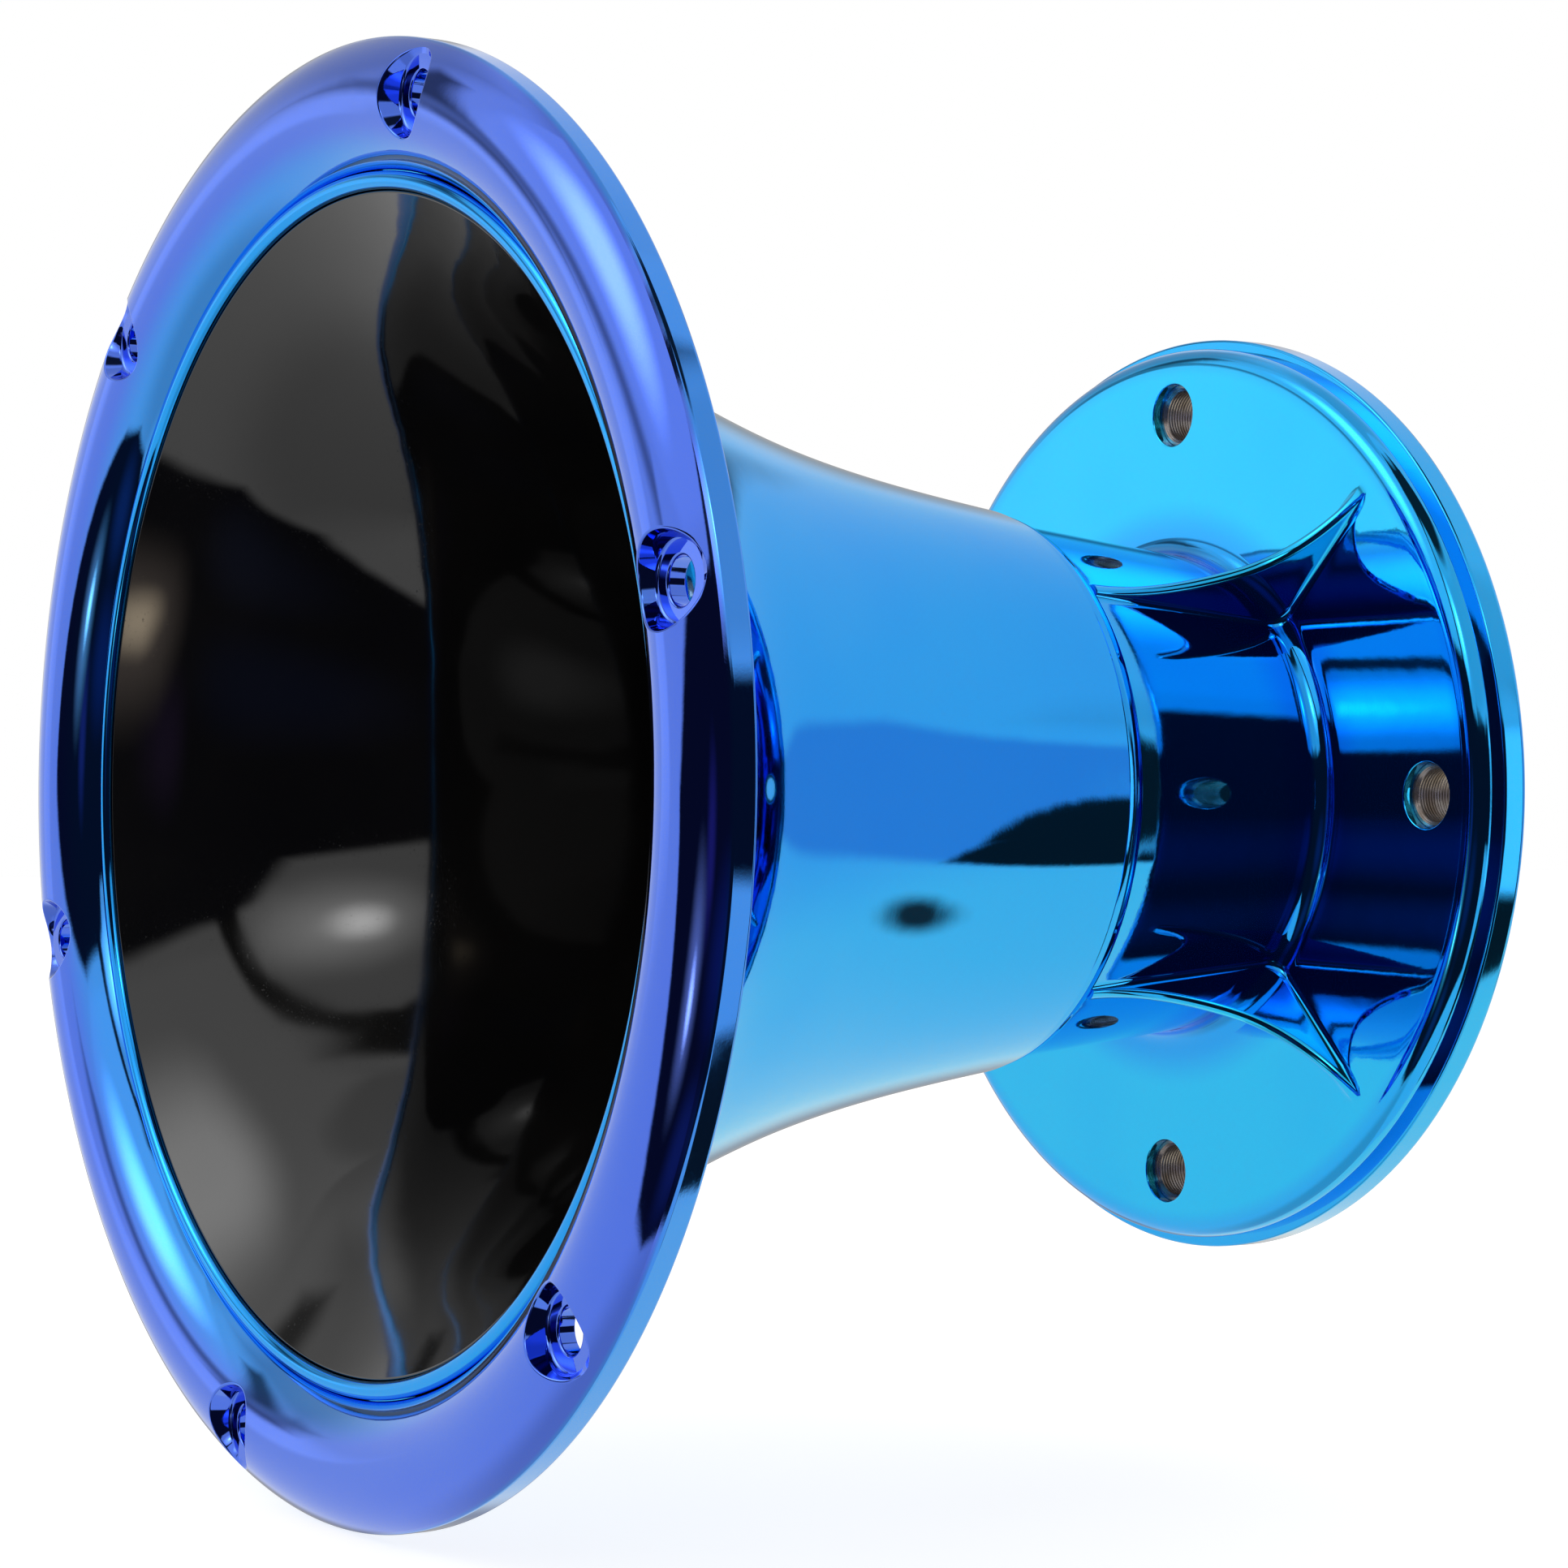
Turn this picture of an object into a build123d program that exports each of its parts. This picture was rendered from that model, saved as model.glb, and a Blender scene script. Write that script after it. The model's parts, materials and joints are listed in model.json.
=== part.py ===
from build123d import *
import math
import os

# Round waveguide horn. The horn's axis is Y: the mouth faces -Y and the driver bolts on at +Y.
# The origin is the centre of the driver seat, the flat back of the rear flange. Millimetres.

# ---- driving dimensions ----
BACK_Y = 0.0  # driver seat
THROAT_R = 25.4  # 2 inch exit
THROAT_LENGTH = 6.0
MOUTH_Y = -130.5
MOUTH_R = 69.5
LINER_WALL = 1.6
LINER_RIM_Y = MOUTH_Y + 2.2  # back edge of the liner's rim
SEAT_GAP = 0.2  # between the liner and the neck
BELL_GAP = 0.5  # between the liner and the bell

# sound path: distance from the driver seat and radius
FLARE = [
    (THROAT_LENGTH, THROAT_R),
    (20.0, 27.1),
    (40.0, 30.6),
    (60.0, 34.9),
    (80.0, 40.4),
    (98.0, 47.1),
    (115.0, 56.2),
    (125.0, 63.6),
    (-MOUTH_Y, MOUTH_R),
]

# plated bell: distance from the driver seat and outside radius
BELL = [
    (40.0, 36.3),
    (60.0, 39.5),
    (80.0, 44.3),
    (98.0, 50.9),
    (106.0, 54.6),
    (114.0, 59.9),
    (121.0, 66.3),
    (126.0, 72.2),
    (128.8, 75.8),
]
BELL_END_Y = -BELL[0][0]
BELL_END_ROUND = 0.8

RING_BACK_Y = -128.8
RING_R = 87.0
RING_BORE_R = 71.85
RING_CREST_R = 79.8
RING_CREST_Y = -135.6
RING_SIDE_Y = -131.7  # where the side wall meets the dome
RING_GROOVE_Y = -130.4  # where the dome meets the bore
RING_WALL = 2.2
RING_EDGE_ROUND = 0.8

LIP_R = 71.75  # outside of the bell's lip, inside the ring's bore
LIP_FRONT_Y = -131.3
LIP_ROUND = 0.95

SCREW_COUNT = 6
SCREW_CIRCLE_R = 80.9
SCREW_START_ANGLE = 15.0
SCREW_HOLE_R = 2.6
WELL_R = 5.2  # at the ring's crest
WELL_FLOOR_R = 4.5
WELL_FLOOR_Y = -132.8
LAND_HALF_ANGLE = 6.0  # solid land behind each well, in degrees either side of the screw
LAND_BACK_Y = -130.6

NECK_FRONT_R = 35.25
NECK_REAR_R = 31.6
SPIGOT_LENGTH = 6.0
SOCKET_LEDGE = 0.9  # step in the bell that the neck's front edge meets
FLANGE_FACE_Y = -7.6
FLANGE_SPLIT_Y = -3.9
FLANGE_R = 59.6
FLANGE_EDGE_ROUND = 2.5
FLANGE_FILLET = 2.6

GUSSET_COUNT = 4
GUSSET_START_ANGLE = 45.0
GUSSET_THICKNESS = 1.6
GUSSET_ROOT_R = 31.0  # inside the neck's wall

# free edge of a gusset: distance from the driver seat and radius
GUSSET_EDGE = [
    (40.0, 36.2),
    (33.5, 36.2),
    (27.5, 37.2),
    (22.0, 38.9),
    (15.8, 42.0),
    (10.9, 47.1),
    (7.6, 54.3),
]
GUSSET_EDGE_ROUND = 0.6

BOLT_COUNT = 4
BOLT_CIRCLE_R = 50.8  # 4 inch bolt circle
BUSHING_R = 4.15
BUSHING_BORE_R = 3.3  # clears an M6 stud
BUSHING_EDGE_BREAK = 0.4
BUSHING_RECESS = 1.4  # below the front face of the flange

PLATE_R = 60.9
PLATE_FRONT_ROUND = 0.35
PLATE_BACK_ROUND = 1.0
COLLAR_R = 31.0  # liner's rear collar, let into the plate
COLLAR_THICKNESS = 1.5
GASKET_IN_R = 33.0
GASKET_OUT_R = 44.5
GASKET_THICKNESS = 1.5


# ---- helpers ----
def station_points(stations):
    """Stations as points of a profile, X radial and Y along the horn's axis."""
    return [(radius, -distance) for distance, radius in stations]


def offset_points(stations, gap):
    """The stations' profile moved outward by gap, square to the wall."""
    points = station_points(stations)
    moved = []
    for i, (radius, y) in enumerate(points):
        before = points[max(i - 1, 0)]
        after = points[min(i + 1, len(points) - 1)]
        run = math.hypot(after[0] - before[0], after[1] - before[1])
        moved.append((radius - gap * (after[1] - before[1]) / run, y + gap * (after[0] - before[0]) / run))
    return moved


def radius_at(points, y):
    """Radius of a profile of points at y, along straight lines between them."""
    for (r0, y0), (r1, y1) in zip(points, points[1:]):
        if y1 <= y <= y0:
            return r0 + (r1 - r0) * (y0 - y) / (y0 - y1)
    return points[-1][0]


def dome_radius(edge_r, edge_y):
    """Radius of the arc that is level at the ring's crest and passes the edge point."""
    reach = edge_r - RING_CREST_R
    rise = edge_y - RING_CREST_Y
    return (reach**2 + rise**2) / (2 * rise)


def dome_point(edge_r, edge_y, share):
    """A point on that arc, share of the way from the crest to the edge."""
    radius = dome_radius(edge_r, edge_y)
    full = math.asin(abs(edge_r - RING_CREST_R) / radius)
    side = math.copysign(1, edge_r - RING_CREST_R)
    turn = full * share
    return (RING_CREST_R + side * radius * math.sin(turn), RING_CREST_Y + radius * (1 - math.cos(turn)))


def radial_plane(angle):
    """Plane that holds the horn's axis: local X is radial at this angle, local Y is the axis."""
    c = math.cos(math.radians(angle))
    s = math.sin(math.radians(angle))
    return Plane(origin=(0, 0, 0), x_dir=(c, 0, s), z_dir=(-s, 0, c))


def across(y):
    """Plane square to the horn's axis at y, facing the mouth, local X and Y along X and Z."""
    return Plane(origin=(0, y, 0), x_dir=(1, 0, 0), z_dir=(0, -1, 0))


os.makedirs("parts", exist_ok=True)

# ---- horn_liner: the black sound path, a thin flared tube with a collar at the driver end ----
liner_back = offset_points(FLARE[1:-1], LINER_WALL)
with BuildPart() as horn_liner:
    with BuildSketch(Plane.XY):
        with BuildLine():
            Line((THROAT_R, BACK_Y), (THROAT_R, -THROAT_LENGTH))
            Spline(*station_points(FLARE), tangents=[(0, -1), (1, -0.62)])
            Line((MOUTH_R, MOUTH_Y), (MOUTH_R, LINER_RIM_Y))
            Spline(
                (MOUTH_R, LINER_RIM_Y),
                *reversed(liner_back),
                (THROAT_R + LINER_WALL, -THROAT_LENGTH),
                tangents=[(-1, 0.66), (0, 1)],
            )
            Polyline(
                (THROAT_R + LINER_WALL, -THROAT_LENGTH),
                (THROAT_R + LINER_WALL, BACK_Y - COLLAR_THICKNESS),
                (COLLAR_R, BACK_Y - COLLAR_THICKNESS),
                (COLLAR_R, BACK_Y),
                (THROAT_R, BACK_Y),
            )
        make_face()
    revolve(axis=Axis.Y)
horn_liner.part.label = "horn_liner"

# ---- bell_shell: plated outer bell, its lip at the mouth and its socket for the neck ----
SOCKET_Y = BELL_END_Y - SPIGOT_LENGTH
bell_inside = offset_points(FLARE[3:-1], LINER_WALL + BELL_GAP)
LIP_IN_R = MOUTH_R + 0.1
with BuildPart() as bell_shell:
    with BuildSketch(Plane.XY):
        with BuildLine():
            Spline(*station_points(BELL))
            Polyline(
                (BELL[-1][1], RING_BACK_Y),
                (LIP_R, RING_BACK_Y),
                (LIP_R, LIP_FRONT_Y),
                (LIP_IN_R, LIP_FRONT_Y),
                (LIP_IN_R, LINER_RIM_Y + BELL_GAP),
            )
            Spline(
                (LIP_IN_R, LINER_RIM_Y + BELL_GAP),
                *reversed(bell_inside),
                (NECK_FRONT_R - SOCKET_LEDGE, SOCKET_Y),
                tangents=[(-1, 0.66), (-0.22, 1)],
            )
            Polyline(
                (NECK_FRONT_R - SOCKET_LEDGE, SOCKET_Y),
                (NECK_FRONT_R, SOCKET_Y),
                (NECK_FRONT_R, BELL_END_Y),
                (BELL[0][1], BELL_END_Y),
            )
        make_face()
    revolve(axis=Axis.Y)
    rims = bell_shell.edges().filter_by(GeomType.CIRCLE)
    lip_edges = rims.filter_by(lambda e: abs(e.center().Y - LIP_FRONT_Y) < 0.01)
    end_edge = rims.filter_by(lambda e: abs(e.center().Y - BELL_END_Y) < 0.01 and e.radius > NECK_FRONT_R + 0.5)
    fillet(lip_edges, LIP_ROUND)
    fillet(end_edge, BELL_END_ROUND)
bell_shell.part.label = "bell_shell"

# ---- front_bezel_ring: domed ring, hollow at the back, with a solid land behind each screw well ----
LAND_SLOPE = math.tan(math.radians(LAND_HALF_ANGLE))
with BuildPart() as front_bezel_ring:
    with BuildSketch(across(LAND_BACK_Y)):
        with PolarLocations(0, SCREW_COUNT, start_angle=SCREW_START_ANGLE):
            Polygon(
                (MOUTH_R, -MOUTH_R * LAND_SLOPE),
                (RING_R + 1, -(RING_R + 1) * LAND_SLOPE),
                (RING_R + 1, (RING_R + 1) * LAND_SLOPE),
                (MOUTH_R, MOUTH_R * LAND_SLOPE),
                align=None,
            )
    extrude(amount=LAND_BACK_Y - RING_CREST_Y + 1)
    with BuildSketch(Plane.XY):
        with BuildLine():
            ThreePointArc(
                (RING_BORE_R, RING_GROOVE_Y),
                dome_point(RING_BORE_R, RING_GROOVE_Y, 0.5),
                (RING_CREST_R, RING_CREST_Y),
            )
            ThreePointArc(
                (RING_CREST_R, RING_CREST_Y),
                dome_point(RING_R, RING_SIDE_Y, 0.5),
                (RING_R, RING_SIDE_Y),
            )
            Polyline(
                (RING_R, RING_SIDE_Y),
                (RING_R, RING_BACK_Y),
                (RING_BORE_R, RING_BACK_Y),
                (RING_BORE_R, RING_GROOVE_Y),
            )
        make_face()
    revolve(axis=Axis.Y, mode=Mode.INTERSECT)
    with BuildSketch(Plane.XY):
        with BuildLine():
            ThreePointArc(
                (RING_BORE_R, RING_GROOVE_Y),
                dome_point(RING_BORE_R, RING_GROOVE_Y, 0.5),
                (RING_CREST_R, RING_CREST_Y),
            )
            ThreePointArc(
                (RING_CREST_R, RING_CREST_Y),
                dome_point(RING_R, RING_SIDE_Y, 0.5),
                (RING_R, RING_SIDE_Y),
            )
            Polyline(
                (RING_R, RING_SIDE_Y),
                (RING_R, RING_BACK_Y),
                (RING_R - RING_WALL, RING_BACK_Y),
                (RING_R - RING_WALL, RING_SIDE_Y + 0.6),
            )
            ThreePointArc(
                (RING_R - RING_WALL, RING_SIDE_Y + 0.6),
                (RING_CREST_R, RING_CREST_Y + RING_WALL),
                (RING_BORE_R + RING_WALL, RING_SIDE_Y + 0.6),
            )
            Polyline(
                (RING_BORE_R + RING_WALL, RING_SIDE_Y + 0.6),
                (RING_BORE_R + RING_WALL, RING_BACK_Y),
                (RING_BORE_R, RING_BACK_Y),
                (RING_BORE_R, RING_GROOVE_Y),
            )
        make_face()
    revolve(axis=Axis.Y)
    with Locations(across(WELL_FLOOR_Y)):
        with PolarLocations(SCREW_CIRCLE_R, SCREW_COUNT, start_angle=SCREW_START_ANGLE):
            Cone(
                WELL_FLOOR_R,
                WELL_R,
                WELL_FLOOR_Y - RING_CREST_Y,
                align=(Align.CENTER, Align.CENTER, Align.MIN),
                mode=Mode.SUBTRACT,
            )
    with Locations(across(WELL_FLOOR_Y)):
        with PolarLocations(SCREW_CIRCLE_R, SCREW_COUNT, start_angle=SCREW_START_ANGLE):
            Hole(SCREW_HOLE_R)
    edges = front_bezel_ring.edges().filter_by(GeomType.CIRCLE)
    side_edge = edges.filter_by(lambda e: abs(e.radius - RING_R) < 0.01)
    fillet(side_edge, RING_EDGE_ROUND)
front_bezel_ring.part.label = "front_bezel_ring"

# ---- throat_neck: conical neck, front disc of the rear flange and the gussets between them ----
neck_back = offset_points(FLARE[:4], LINER_WALL + SEAT_GAP)
with BuildPart() as throat_neck:
    with BuildSketch(Plane.XY):
        with BuildLine():
            Polyline(
                (NECK_FRONT_R, SOCKET_Y),
                (NECK_FRONT_R, BELL_END_Y),
                (NECK_REAR_R, FLANGE_FACE_Y - FLANGE_FILLET),
            )
            ThreePointArc(
                (NECK_REAR_R, FLANGE_FACE_Y - FLANGE_FILLET),
                (
                    NECK_REAR_R + FLANGE_FILLET * (1 - math.sqrt(0.5)),
                    FLANGE_FACE_Y - FLANGE_FILLET * (1 - math.sqrt(0.5)),
                ),
                (NECK_REAR_R + FLANGE_FILLET, FLANGE_FACE_Y),
            )
            Polyline(
                (NECK_REAR_R + FLANGE_FILLET, FLANGE_FACE_Y),
                (FLANGE_R, FLANGE_FACE_Y),
                (FLANGE_R, FLANGE_SPLIT_Y),
                (THROAT_R + LINER_WALL + SEAT_GAP, FLANGE_SPLIT_Y),
                (THROAT_R + LINER_WALL + SEAT_GAP, -THROAT_LENGTH),
                (radius_at(neck_back, SOCKET_Y), SOCKET_Y),
                (NECK_FRONT_R, SOCKET_Y),
            )
        make_face()
    revolve(axis=Axis.Y)
    for k in range(GUSSET_COUNT):
        angle = GUSSET_START_ANGLE + k * 360 / GUSSET_COUNT
        with BuildSketch(radial_plane(angle)):
            with BuildLine():
                Spline(*station_points(GUSSET_EDGE))
                Polyline(
                    (GUSSET_EDGE[-1][1], FLANGE_FACE_Y),
                    (GUSSET_EDGE[-1][1], FLANGE_SPLIT_Y),
                    (GUSSET_ROOT_R, FLANGE_SPLIT_Y),
                    (GUSSET_ROOT_R + 2, BELL_END_Y),
                    (GUSSET_EDGE[0][1], BELL_END_Y),
                )
            make_face()
        extrude(amount=GUSSET_THICKNESS / 2, both=True)
    with Locations(across(FLANGE_FACE_Y)):
        with PolarLocations(BOLT_CIRCLE_R, BOLT_COUNT):
            Hole(BUSHING_R)
    circles = throat_neck.edges().filter_by(GeomType.CIRCLE)
    rim = circles.filter_by(lambda e: abs(e.radius - FLANGE_R) < 0.01 and e.center().Y < FLANGE_FACE_Y + 0.01)
    fillet(rim, FLANGE_EDGE_ROUND)
    gusset_edges = throat_neck.edges().filter_by(GeomType.BSPLINE).filter_by(lambda e: e.length > 40)
    fillet(gusset_edges, GUSSET_EDGE_ROUND)
throat_neck.part.label = "throat_neck"

# ---- flange_back_plate: the wider rear half of the flange, with the driver seat ----
with BuildPart() as flange_back_plate:
    with BuildSketch(across(BACK_Y)):
        Circle(PLATE_R)
        Circle(THROAT_R + LINER_WALL + SEAT_GAP, mode=Mode.SUBTRACT)
    extrude(amount=BACK_Y - FLANGE_SPLIT_Y)
    plate_circles = flange_back_plate.edges().filter_by(GeomType.CIRCLE)
    plate_rims = plate_circles.filter_by(lambda e: abs(e.radius - PLATE_R) < 0.01)
    front_rim = plate_rims.filter_by(lambda e: abs(e.center().Y - FLANGE_SPLIT_Y) < 0.01)
    back_rim = plate_rims.filter_by(lambda e: abs(e.center().Y - BACK_Y) < 0.01)
    fillet(front_rim, PLATE_FRONT_ROUND)
    fillet(back_rim, PLATE_BACK_ROUND)
    with BuildSketch(across(BACK_Y)):
        Circle(COLLAR_R)
    extrude(amount=COLLAR_THICKNESS, mode=Mode.SUBTRACT)
    with BuildSketch(across(BACK_Y)):
        Circle(GASKET_OUT_R)
        Circle(GASKET_IN_R, mode=Mode.SUBTRACT)
    extrude(amount=GASKET_THICKNESS, mode=Mode.SUBTRACT)
    with Locations(across(BACK_Y)):
        with PolarLocations(BOLT_CIRCLE_R, BOLT_COUNT):
            Hole(BUSHING_R)
flange_back_plate.part.label = "flange_back_plate"

# ---- flange_bushings: a sleeve in each bolt hole, flush at the driver seat, recessed at the front ----
with BuildPart() as flange_bushings:
    with BuildSketch(across(BACK_Y)):
        with PolarLocations(BOLT_CIRCLE_R, BOLT_COUNT):
            Circle(BUSHING_R)
            Circle(BUSHING_BORE_R, mode=Mode.SUBTRACT)
    extrude(amount=BACK_Y - FLANGE_FACE_Y - BUSHING_RECESS)
    bore_rims = flange_bushings.edges().filter_by(GeomType.CIRCLE)
    chamfer(bore_rims.filter_by(lambda e: abs(e.radius - BUSHING_BORE_R) < 0.01), BUSHING_EDGE_BREAK)
flange_bushings.part.label = "flange_bushings"

# ---- driver_gasket: flush in the driver seat ----
with BuildPart() as driver_gasket:
    with BuildSketch(across(BACK_Y)):
        Circle(GASKET_OUT_R)
        Circle(GASKET_IN_R, mode=Mode.SUBTRACT)
    extrude(amount=GASKET_THICKNESS)
driver_gasket.part.label = "driver_gasket"

for piece in (
    horn_liner,
    bell_shell,
    front_bezel_ring,
    throat_neck,
    flange_back_plate,
    flange_bushings,
    driver_gasket,
):
    export_step(piece.part, f"parts/{piece.part.label}.step")
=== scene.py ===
import json
import math

import bpy
import numpy as np
from mathutils import Matrix, Vector

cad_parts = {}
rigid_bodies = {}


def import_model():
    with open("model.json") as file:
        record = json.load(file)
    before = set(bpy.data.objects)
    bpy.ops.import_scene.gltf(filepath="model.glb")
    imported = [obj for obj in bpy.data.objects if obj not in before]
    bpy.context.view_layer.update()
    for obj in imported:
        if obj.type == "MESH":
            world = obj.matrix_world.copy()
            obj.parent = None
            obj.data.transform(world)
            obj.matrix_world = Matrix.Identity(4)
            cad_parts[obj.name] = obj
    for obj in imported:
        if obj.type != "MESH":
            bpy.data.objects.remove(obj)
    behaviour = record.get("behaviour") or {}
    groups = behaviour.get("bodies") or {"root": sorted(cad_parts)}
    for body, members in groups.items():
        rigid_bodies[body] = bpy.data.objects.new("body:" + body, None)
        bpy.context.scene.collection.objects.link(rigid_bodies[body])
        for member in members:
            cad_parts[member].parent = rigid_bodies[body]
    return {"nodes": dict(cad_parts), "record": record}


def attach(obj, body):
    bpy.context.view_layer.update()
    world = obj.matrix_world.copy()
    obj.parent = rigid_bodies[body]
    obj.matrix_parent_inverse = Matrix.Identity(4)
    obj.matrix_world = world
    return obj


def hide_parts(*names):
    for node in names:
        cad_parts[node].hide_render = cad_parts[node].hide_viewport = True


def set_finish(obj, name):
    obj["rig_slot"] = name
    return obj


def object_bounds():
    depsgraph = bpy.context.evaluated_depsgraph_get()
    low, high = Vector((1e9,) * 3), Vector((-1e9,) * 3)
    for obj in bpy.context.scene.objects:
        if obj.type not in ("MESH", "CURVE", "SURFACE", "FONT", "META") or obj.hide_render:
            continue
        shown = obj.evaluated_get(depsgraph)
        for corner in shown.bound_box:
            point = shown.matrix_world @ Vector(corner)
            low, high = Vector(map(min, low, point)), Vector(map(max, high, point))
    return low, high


# A plated horn for a compression driver. Its pieces are drawn in millimetres, in the frame of the
# CAD model: the horn's axis is Y, the mouth faces -Y and the driver seat is at y = 0. The camera,
# the floor and the distances in the materials are in metres.

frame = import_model()
cad_low, cad_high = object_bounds()
MM = 0.001
COLUMNS = 360  # columns of a turned surface, one per degree
FLARE_STEPS = 60  # rows along a flare
CORNER = 0.5  # a surface that bends by more than this, in radians, has a crisp edge there
ANY_BEND = math.pi  # no bend makes an edge
LOOK_PAST = 1.2  # a corner's sides aim at points at least this many corner radii away
ARC_MARGIN = 1.02  # points beside a corner are dropped up to its arc's ends, times this


# ---- profiles: lists of (radius, y, radius of the rounded corner), with 0 for a plain point ----
def smooth_curve(stations, steps):
    """Natural cubic spline through stations (x, value), sampled evenly in x."""
    x, v = np.array(stations, float).T
    n = len(x)
    h = np.diff(x)
    matrix = np.eye(n)
    right = np.zeros(n)
    for i in range(1, n - 1):
        matrix[i, i - 1 : i + 2] = h[i - 1], 2 * (h[i - 1] + h[i]), h[i]
        right[i] = 6 * ((v[i + 1] - v[i]) / h[i] - (v[i] - v[i - 1]) / h[i - 1])
    bend = np.linalg.solve(matrix, right)
    at = np.linspace(x[0], x[-1], steps + 1)
    i = np.clip(np.searchsorted(x, at, side="right") - 1, 0, n - 2)
    a = x[i + 1] - at
    b = at - x[i]
    value = (bend[i] * a**3 + bend[i + 1] * b**3) / (6 * h[i])
    value += (v[i] / h[i] - bend[i] * h[i] / 6) * a + (v[i + 1] / h[i] - bend[i + 1] * h[i] / 6) * b
    return at, value


def flare(stations):
    """Profile points along a flare given as (distance from the driver seat, radius)."""
    at, radius = smooth_curve(stations, FLARE_STEPS)
    return [(r, -d, 0.0) for d, r in zip(at, radius)]


def rounded(path, closed=True, steps=8):
    """Points (radius, y, corner radius) with each corner that has a radius replaced by an arc."""
    points = [np.array(p[:2], float) for p in path]
    count = len(points)

    def apart(i, k):
        return np.linalg.norm(points[k % count] - points[i])

    made = []
    dropped = set()
    arcs = {}
    for i, (_, _, size) in enumerate(path):
        if not size:
            continue
        ends = []
        for step in (-1, 1):
            k = i + step
            while apart(i, k) < LOOK_PAST * size and abs(k - i) < count // 2:
                k += step
            ends.append((points[k % count] - points[i], k, step))
        u, v = (e[0] / np.linalg.norm(e[0]) for e in ends)
        half = math.acos(np.clip(np.dot(u, v), -1, 1)) / 2
        reach = size / math.tan(half)
        for _, k, step in ends:
            j = i + step
            while j != k:
                if apart(i, j) < reach * ARC_MARGIN:
                    dropped.add(j % count)
                j += step
        centre = points[i] + (u + v) / np.linalg.norm(u + v) * size / math.sin(half)
        first = points[i] + u * reach - centre
        last = points[i] + v * reach - centre
        a0 = math.atan2(first[1], first[0])
        sweep = (math.atan2(last[1], last[0]) - a0 + math.pi) % (2 * math.pi) - math.pi
        arcs[i] = [centre + size * np.array((math.cos(a0 + sweep * t), math.sin(a0 + sweep * t)))
                   for t in np.linspace(0, 1, steps + 1)]
    for i in range(count):
        if i in arcs:
            made += arcs[i]
        elif i not in dropped:
            made.append(points[i])
    if closed:
        made.append(made[0])
    return np.array(made)


# ---- meshes: patches of quads with exact normals, joined where their points meet ----
class Skin:
    """Quads gathered from patches, with a normal at each corner."""

    def __init__(self):
        self.corners = []
        self.normals = []

    def patch(self, points, normals, skip=None):
        """A grid of points (rows, columns, 3) as quads, without the cells marked in skip."""
        keep = np.ones((points.shape[0] - 1, points.shape[1] - 1), bool)
        if skip is not None:
            keep &= ~skip
        for store, grid in ((self.corners, points), (self.normals, normals)):
            quads = np.stack([grid[:-1, :-1], grid[1:, :-1], grid[1:, 1:], grid[:-1, 1:]], 2)
            store.append(quads[keep])

    def build(self, name):
        """The mesh object, with equal points merged and collapsed quads left out."""
        corners = np.concatenate(self.corners)
        normals = np.concatenate(self.normals)
        flat = np.round(corners.reshape(-1, 3), 3) + 0.0  # adding 0.0 makes -0.0 equal to 0.0
        places, index = np.unique(flat, axis=0, return_inverse=True)
        index = index.reshape(-1, 4)
        faces = []
        shades = []
        for quad, shade in zip(index, normals):
            kept = [k for k in range(4) if quad[k] != quad[k - 1]]
            if len(set(quad[k] for k in kept)) == len(kept) >= 3:
                faces.append([int(quad[k]) for k in kept])
                shades.append(shade[kept])
        mesh = bpy.data.meshes.new(name)
        mesh.from_pydata((places * MM).tolist(), [], faces)
        mesh.polygons.foreach_set("use_smooth", [True] * len(mesh.polygons))
        mesh.normals_split_custom_set(np.concatenate(shades).tolist())
        mesh.update()
        piece = bpy.data.objects.new(name, mesh)
        bpy.context.scene.collection.objects.link(piece)
        return piece


def unit(vectors):
    return vectors / np.maximum(np.linalg.norm(vectors, axis=-1, keepdims=True), 1e-12)


def differences(grid, axis, wrap, corner=CORNER):
    """Chords across each point along an axis; at a corner the chord of one side only, per side."""
    moved = np.moveaxis(grid, axis, 0)
    step = np.roll(moved, -1, 0) - moved
    if not wrap:
        step[-1] = step[-2]
    back = np.roll(step, 1, 0)
    if not wrap:
        back[0] = step[0]
    sharp = (unit(step) * unit(back)).sum(-1, keepdims=True) < math.cos(corner)
    chord = step + back
    ahead = np.where(sharp, step, chord)
    behind = np.where(sharp, back, chord)
    return np.moveaxis(ahead, 0, axis), np.moveaxis(behind, 0, axis)


def turned(profile, angles=None):
    """Grid of a profile turned about Y, and its normals, split at the profile's corners."""
    if angles is None:
        angles = np.linspace(0, 2 * math.pi, COLUMNS + 1)
    r = profile[:, :1]
    c = np.cos(angles)[None]
    s = np.sin(angles)[None]
    points = np.stack([r * c, np.repeat(profile[:, 1:], len(angles), 1), r * s], 2)
    ahead, behind = differences(profile, 0, False)
    grids = []
    for tangent in (ahead, behind):
        n = unit(np.stack([tangent[:, 1], -tangent[:, 0]], 1))
        grids.append(np.stack([n[:, :1] * c, np.repeat(n[:, 1:], len(angles), 1), n[:, :1] * s], 2))
    return points, grids[0], grids[1]


def add_turned(skin, profile, angles=None, centre=(0, 0, 0)):
    """Adds a turned profile row by row, so that corners of the profile stay crisp."""
    points, ahead, behind = turned(profile, angles)
    for i in range(len(profile) - 1):
        if np.linalg.norm(profile[i + 1] - profile[i]) > 1e-6:
            skin.patch(points[i : i + 2] + np.array(centre), np.stack([ahead[i], behind[i + 1]]))


def lathe(name, path):
    skin = Skin()
    add_turned(skin, rounded(path))
    return skin.build(name)


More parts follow.
